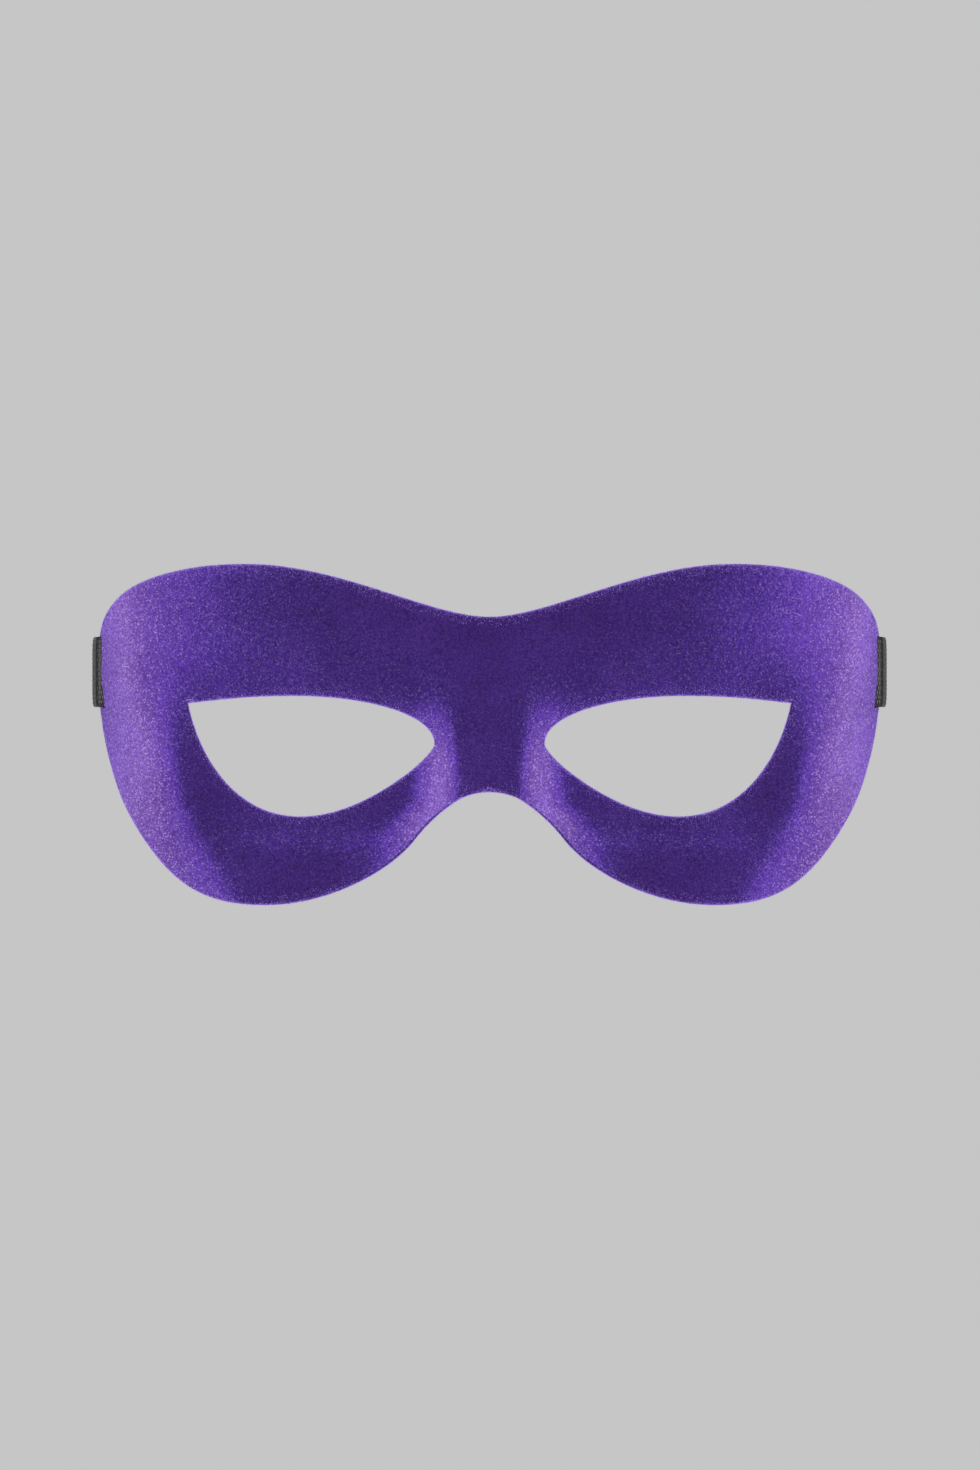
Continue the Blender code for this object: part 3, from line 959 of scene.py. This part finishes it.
@dataclass
class PileFringe:
    """The fibres of the pile that stand out along the velvet's cut edges and just beside them."""

    shell: VelvetShell
    fibres_per_mm: float = 40.0
    # The share of the fibres that stand on the face beside the edge, and how far in they reach
    face_share: float = 0.4
    frosting: float = 1.8 * MM
    face_lean: float = 0.3 * math.pi
    farthest_turn: float = 0.75 * math.pi
    shortest: float = 0.25 * MM
    longest: float = 0.60 * MM
    thickness: float = 0.05 * MM
    tilt: float = 0.55
    seed: int = 11

    def edge_points(self, edge: MaskEdge) -> tuple[Array, Array, Array]:
        """The sharp corner points of an edge, with their directions into and through the wall."""
        cut = self.shell.rim_edge if edge is MaskEdge.OUTLINE else self.shell.eye_edge
        found = [cut.points, cut.into, cut.through]
        if edge is MaskEdge.EYE_HOLE:
            found = [np.concatenate([values, values[:1]]) for values in found]
        return found[0], found[1], found[2]

    def fibres(self, edge: MaskEdge, random: np.random.Generator) -> tuple[Array, Array]:
        """Roots and tips of the fibres along one edge of the right half."""
        points, into, through = self.edge_points(edge)
        lengths = lengths_along(points)
        count = int(lengths[-1] / MM * self.fibres_per_mm)
        at = random.random(count) * lengths[-1]

        def along(values: Array) -> Array:
            """Read a value of the edge at each fibre's place."""
            return np.stack([np.interp(at, lengths, values[:, i]) for i in range(3)], axis=1)

        here, inwards, down = along(points), unit(along(into)), unit(along(through))
        on_face = random.random(count)[:, None] < self.face_share
        turn = random.random(count)[:, None] * self.farthest_turn
        round_size = self.shell.rim_round
        flat = np.where(on_face, 0, np.clip(turn, 0, math.pi / 2))
        past = np.where(on_face, 0, np.maximum(turn - math.pi / 2, 0))
        sunk = round_size * (1 - np.cos(flat) + past)
        spread = np.where(on_face, self.frosting * random.random(count)[:, None] ** 2, 0)
        root = here + inwards * (round_size * (1 - np.sin(flat)) + spread) + down * sunk
        turn = np.where(on_face, self.face_lean, turn)
        out = -inwards * np.sin(turn) - down * np.cos(turn)
        size = self.shortest + (self.longest - self.shortest) * random.random(count)[:, None] ** 2
        lean = random.normal(0, self.tilt, (count, 3))
        return root, root + unit(out + lean) * size

    def build(self, fibre: Material) -> Object:
        """Build all fibres as one mesh of slim blades.

        Args:
            fibre: their material.

        Returns:
            The fringe's object.
        """
        random = np.random.default_rng(self.seed)
        halves = [self.fibres(edge, random) for edge in MaskEdge]
        roots = np.concatenate([root for root, _ in halves])
        tips = np.concatenate([tip for _, tip in halves])
        roots = np.concatenate([roots, mirrored(roots)])
        tips = np.concatenate([tips, mirrored(tips)])
        across = unit(np.cross(tips - roots, random.normal(0, 1, roots.shape)))
        half = across * self.thickness / 2
        verts = np.stack([roots + half, tips, roots - half], axis=1).reshape(-1, 3)
        faces = np.arange(len(verts)).reshape(-1, 3).tolist()
        return new_piece("pile_fringe", verts, faces, fibre)


@dataclass
class StrapLand:
    """The strip of side wall between a strap slot and the rim, seen from above."""

    form: MaskForm
    strap_width: float
    length_wanted: float = 2.5 * MM
    steps: int = 100
    heights: int = 3

    def __post_init__(self) -> None:
        """Measure the strip over the strap's width."""
        form = self.form
        self.height = WIDEST_KNOT.z * form.height
        rim = WIDEST_KNOT.x * form.half
        xs = [rim]
        ys = [float(form.depth(rim, self.height))]
        run = 0.0
        while run < self.length_wanted:
            xs.append(xs[-1] - self.length_wanted / self.steps)
            ys.append(float(form.depth(xs[-1], self.height)))
            run += math.hypot(xs[-1] - xs[-2], ys[-1] - ys[-2])
        self.front = Vector((xs[-1], ys[-1]))
        self.back = (Vector((xs[0], ys[0])) - self.front).normalized()
        self.out = Vector((self.back.y, -self.back.x))
        half = self.strap_width / 2
        places = np.array(
            [(x, z) for z in self.height + np.linspace(-half, half, self.heights) for x in xs]
        )
        outer = form.velvet(places)
        inner = outer + form.through(places) * form.wall
        front, out, back = (np.array(v) for v in (self.front, self.out, self.back))
        self.outer = float(np.max((outer[:, :2] - front) @ out))
        self.inner = float(np.min((inner[:, :2] - front) @ out))
        rims = Spokes(form, 1).rims
        beside = rims[(rims[:, 0] > rim / 2) & (abs(rims[:, 1] - self.height) < half + form.wall)]
        ends = form.velvet(beside) + form.through(beside) * form.wall
        self.length = float(np.max((ends[:, :2] - front) @ back))

    def place(self, along: float, outwards: float) -> Vector:
        """A place seen from above.

        Args:
            along: how far back from the strip's front edge.
            outwards: how far out from its face.

        Returns:
            The place as X and Y.
        """
        return self.front + self.back * along + self.out * outwards


def arc(centre: Vector, radius: float, start: float, end: float, steps: int) -> list[Vector]:
    """Points on an arc.

    Args:
        centre: the arc's centre.
        radius: its radius.
        start: the first heading, in degrees.
        end: the last heading.
        steps: how many steps it takes.

    Returns:
        The points in order.
    """
    shares = [i / steps for i in range(steps + 1)]
    return [centre + Vector(heading(start + (end - start) * share)) * radius for share in shares]


def walk(points: list[Vector], wanted: float) -> tuple[Vector, Vector]:
    """Go a length along a line.

    Args:
        points: the line.
        wanted: the length.

    Returns:
        The place reached and the line's direction there.
    """
    for before, after in zip(points, points[1:]):
        step = (after - before).length
        if wanted <= step:
            break
        wanted -= step
    along = (after - before).normalized()
    return before + along * wanted, along


@dataclass
class ElasticStrap:
    """The flat elastic: its tails inside the mask, its turns through the slots and its loop."""

    form: MaskForm
    width: float = 16.0 * MM
    thickness: float = 0.8 * MM
    edge_round: float = 0.38 * MM
    reach: float = 187.0 * MM
    rise: float = 5.8 * MM
    turn_radius: float = 5.0 * MM
    tail_length: float = 12.0 * MM
    clearance: float = 0.25 * MM
    tail_closing: float = 0.5
    side_fullness: float = 0.50
    back_fullness: float = 0.68
    slot_inwards: float = 6.0 * MM
    slot_outwards: float = 4.0 * MM
    ribs: int = 15
    rib_points: int = 4
    rib_depth: float = 0.07 * MM
    rib_fullness: float = 0.5
    bow: float = 0.25 * MM
    bow_power: int = 6
    edge_steps: int = 6
    corner_steps: int = 12
    turn_steps: int = 12
    tail_steps: int = 24
    loop_steps: int = 190

    def __post_init__(self) -> None:
        """Work out the strip that the strap wraps, and the strap's line."""
        self.land = StrapLand(self.form, self.width)
        self.line = self.whole_line()

    def slot_cutter(self) -> Object:
        """Build the boxes that cut both slots through the shell."""
        land = self.land
        half = self.width / 2 + self.clearance
        near = -(self.thickness + 2 * self.clearance)
        inside, outside = -self.slot_inwards, self.slot_outwards
        corners = [(near, inside), (near, outside), (0.0, outside), (0.0, inside)]
        ring = [land.place(*corner) for corner in corners]
        points, faces = [], []
        for side in Side:
            first = len(points)
            for height in (land.height - half, land.height + half):
                points += [(side.value * place.x, place.y, height) for place in ring]
            faces += [[first + i for i in face] for face in BOX_FACES]
        cutter = new_piece("slot_cutter", points, faces)
        face_outwards(cutter.data)
        return cutter

    def half_line(self) -> list[Vector]:
        """Half of the strap's middle line seen from above, from its tail to behind the head."""
        land = self.land
        off = self.clearance + self.thickness / 2
        way = math.degrees(math.atan2(land.back.y, land.back.x))
        leaving = land.place(land.length, land.outer + off)
        turn_centre = leaving - land.out * self.turn_radius
        turn = arc(turn_centre, self.turn_radius, way - 90, 0, self.turn_steps)
        side = turn[-1]
        back = Vector((0, self.reach + self.form.seat))
        corner = Vector((side.x, back.y))
        side_handle = side.lerp(corner, self.side_fullness)
        back_handle = back.lerp(corner, self.back_fullness)
        shares = [i / self.loop_steps for i in range(1, self.loop_steps + 1)]
        loop = [Vector(bezier(side, side_handle, back_handle, back, share)) for share in shares]
        standing = turn + loop
        beside_land = land.outer - land.inner + 2 * off
        beside_strap = self.thickness + self.clearance
        tail = []
        for i in range(self.tail_steps, -1, -1):
            share = i / self.tail_steps
            closing = min(share / self.tail_closing, 1)
            apart = beside_land + (beside_strap - beside_land) * closing**2 * (3 - 2 * closing)
            far = self.clearance + (self.tail_length - self.clearance) * share
            place, along = walk(standing, far)
            tail.append(place + Vector((-along.y, along.x)) * apart)
        inner = arc(land.place(0, land.inner), off, way + 90, way + 180, self.corner_steps)
        outer = arc(land.place(0, land.outer), off, way + 180, way + 270, self.corner_steps)
        return tail + inner + outer + standing

    def whole_line(self) -> Array:
        """The strap's whole middle line, from the right tail to the left one."""
        rim = self.land.place(self.land.length, 0)
        reach = self.reach + self.form.seat - rim.y
        line = []
        for point in self.half_line():
            share = max(point.y - rim.y, 0) / reach
            line.append((*point, self.land.height + self.rise * share**2 * (3 - 2 * share)))
        half = np.array(line)
        return np.concatenate([half, mirrored(half[-2::-1])])

    def normals(self) -> Array:
        """The level directions at right angles to the line, mitred between its steps."""
        steps = np.diff(self.line, axis=0)
        flat = unit(np.stack([steps[:, 1], -steps[:, 0], np.zeros(len(steps))], axis=1))
        first = np.concatenate([flat[:1], flat])
        second = np.concatenate([flat, flat[-1:]])
        return mitred(first, second)

    def section(self) -> Array:
        """The strap's section as pairs of out and up, ribbed on both faces, round at its edges."""
        half, edge = self.thickness / 2, self.width / 2
        flat = edge - self.edge_round
        up = np.linspace(-flat, flat, self.ribs * self.rib_points + 1)
        wave = np.abs(np.sin(math.pi * self.ribs * (up + flat) / (2 * flat)))
        ridge = wave**self.rib_fullness
        out = half - self.rib_depth * (1 - ridge)
        turns = np.linspace(0, math.pi, self.edge_steps + 1)[1:-1]
        edge_out = (half - self.rib_depth) * np.cos(turns)
        edge_up = flat + self.edge_round * np.sin(turns)
        front = np.stack([out, up], axis=1)
        top = np.stack([edge_out, edge_up], axis=1)
        found = np.concatenate([front, top, -front, -top])
        found[:, 0] -= self.bow * np.abs(found[:, 1] / edge) ** self.bow_power
        return found

    def build(self, elastic: Material) -> Object:
        """Build the strap.

        Args:
            elastic: its material.

        Returns:
            The strap's object, with a map of its length and width in millimetres.
        """
        section = self.section()
        normals = self.normals()
        count, size = len(self.line), len(section)
        rings = self.line[:, None] + normals[:, None] * section[None, :, :1]
        rings[:, :, 2] += section[None, :, 1]
        index = np.arange(count * size).reshape(count, size)
        here, after = index[:-1], index[1:]
        sides = [np.roll(here, 1, axis=1), here, after, np.roll(after, 1, axis=1)]
        faces = np.stack(sides, axis=-1).reshape(-1, 4).tolist()
        faces += [index[0][::-1].tolist(), index[-1].tolist()]
        strap = new_piece("woven_elastic", rings.reshape(-1, 3), faces, elastic)
        mesh = strap.data
        along = np.repeat(lengths_along(self.line) / MM, size)
        across = np.tile(section[:, 1] / MM, count)
        corners = np.empty(len(mesh.loops), np.int32)
        mesh.loops.foreach_get("vertex_index", corners)
        weave = mesh.uv_layers.new(name="weave")
        weave.uv.foreach_set("vector", np.stack([along, across], axis=1)[corners].ravel())
        mesh.shade_smooth()
        face_outwards(mesh)
        return strap


class Softbox(NamedTuple):
    """A square softbox that faces the mask."""

    name: str
    place: tuple[float, float, float]
    size: float
    watts: float


SOFTBOXES = [
    Softbox("front_softbox", (0, -3.0, 0.3), 1.6, 107.0),
    Softbox("back_softbox", (0, 3.0, 1.6), 1.6, 45.0),
]


@dataclass
class Studio:
    """The camera at the photograph's angle, soft lights and a plain pale floor."""

    distance: float = 1200.0 * MM
    frame_height: float = 322.65 * MM
    centre_offset: float = 0.11 * MM
    sensor: float = 36.0
    floor_drop: float = 1.3
    floor_reach: float = 6.0
    backdrop: str = "C6C6C6"
    ambient: float = 0.30

    def add_camera(self) -> None:
        """Stand the camera in front of the mask and make it the scene's."""
        lens = bpy.data.cameras.new("camera")
        lens.sensor_width = self.sensor
        lens.lens = self.sensor * self.distance / self.frame_height
        camera = add_object("camera", lens)
        camera.location = (self.centre_offset, -self.distance, 0)
        camera.rotation_euler = (math.pi / 2, 0, 0)
        bpy.context.scene.camera = camera

    def add_softboxes(self) -> None:
        """Stand the softboxes round the mask, out of the camera's sight."""
        for box in SOFTBOXES:
            light = bpy.data.lights.new(box.name, "AREA")
            light.size = box.size
            light.energy = box.watts
            softbox = add_object(box.name, light)
            softbox.location = box.place
            softbox.rotation_euler = (-softbox.location).to_track_quat("-Z", "Y").to_euler()
            softbox.visible_camera = False

    def add_world(self) -> None:
        """Give the world the backdrop's grey to the camera and an even light to the rest."""
        world = bpy.data.worlds.new("studio")
        world.use_nodes = True
        tree = world.node_tree
        tree.nodes.clear()
        path = add_node(tree, "ShaderNodeLightPath", {}, {})
        light = add_node(tree, "ShaderNodeBackground", {"Strength": self.ambient}, {})
        seen = add_node(tree, "ShaderNodeBackground", {"Color": srgb(self.backdrop)}, {})
        mixed = add_node(
            tree,
            "ShaderNodeMixShader",
            {},
            {0: path.outputs["Is Camera Ray"], 1: light.outputs[0], 2: seen.outputs[0]},
        )
        add_node(tree, "ShaderNodeOutputWorld", {}, {"Surface": mixed.outputs[0]})
        bpy.context.scene.world = world

    def add_floor(self, paper: Material) -> None:
        """Lay the plain floor well below the mask.

        Args:
            paper: its material.
        """
        reach = self.floor_reach
        ends = [(-reach, -reach), (reach, -reach), (reach, reach), (-reach, reach)]
        corners = [(x, y, -self.floor_drop) for x, y in ends]
        floor = new_piece("floor", corners, [(0, 1, 2, 3)], paper)

    def build(self, paper: Material) -> None:
        """Build the whole studio.

        Args:
            paper: the floor's material.
        """
        self.add_camera()
        self.add_world()
        self.add_floor(paper)
        self.add_softboxes()
        bpy.context.scene.view_settings.view_transform = "Standard"


def dress(piece: Object, slot: str, *nodes: str) -> None:
    """Tell the frame what a piece rides on and what it stands for.

    Args:
        piece: the piece.
        slot: the record's material slot; not used.
        nodes: the CAD nodes that it replaces.
    """
    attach(piece, BODY)
    if nodes:
        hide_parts(*nodes)
    LOG.info("%s: %d faces", piece.name, len(piece.data.polygons))


def main() -> None:
    """Build the studio and the mask's pieces in order."""
    logging.basicConfig(level=logging.INFO, format="%(name)s: %(message)s")
    Studio().build(PaperFinish().material())
    form = MaskForm()
    velvet = VelvetFinish().material()
    strap = ElasticStrap(form)
    shell = VelvetShell(form)
    cutter = strap.slot_cutter()
    dress(shell.build(velvet, FeltFinish().material(), cutter), "velvet", "mask_shell")
    dress(PileFringe(shell).build(FibreFinish().material()), "velvet")
    dress(strap.build(ElasticFinish().material()), "elastic", "elastic_strap")


if __name__ == "__main__":
    main()
